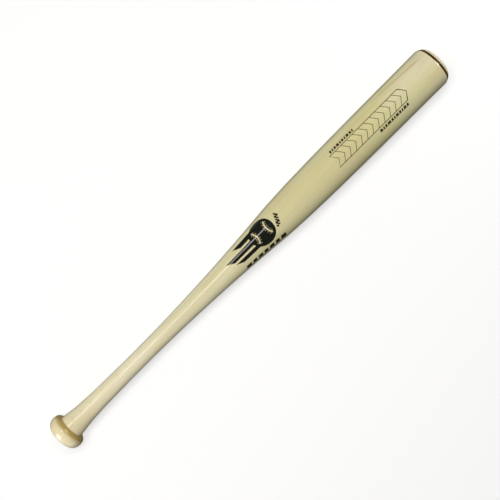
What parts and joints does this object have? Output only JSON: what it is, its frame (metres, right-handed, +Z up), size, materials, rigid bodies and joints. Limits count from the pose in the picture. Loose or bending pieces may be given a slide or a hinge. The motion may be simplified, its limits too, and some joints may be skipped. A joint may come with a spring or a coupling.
{
  "type": "baseball bat",
  "caption": "Short one-piece wooden baseball bat with a round knob, a slim handle, a cupped barrel end with a dark ring, and plain film artwork.",
  "frame": {"origin": "on the surface that the bat lies on, under the middle of its bounding box", "axes": "+X runs along the bat from the knob to the barrel end, +Z is up and the artwork faces it; the bat's axis rises by about a third of a degree towards +X, because the bat rests on its knob and its barrel"},
  "size_m": [0.686, 0.0568, 0.0569],
  "materials": {
    "maple": "gloss",
    "dark_ring": "gloss",
    "black_film": "gloss",
    "olive_film": "satin"
  },
  "bodies": {
    "root": {"bat_body": "maple", "barrel_end_ring": "dark_ring", "emblem_ball": "black_film", "emblem_block_row": "black_film", "emblem_side_row": "black_film", "label_chevron_band": "olive_film", "label_upper_row": "olive_film", "label_lower_row": "olive_film"}
  },
  "joints": []
}
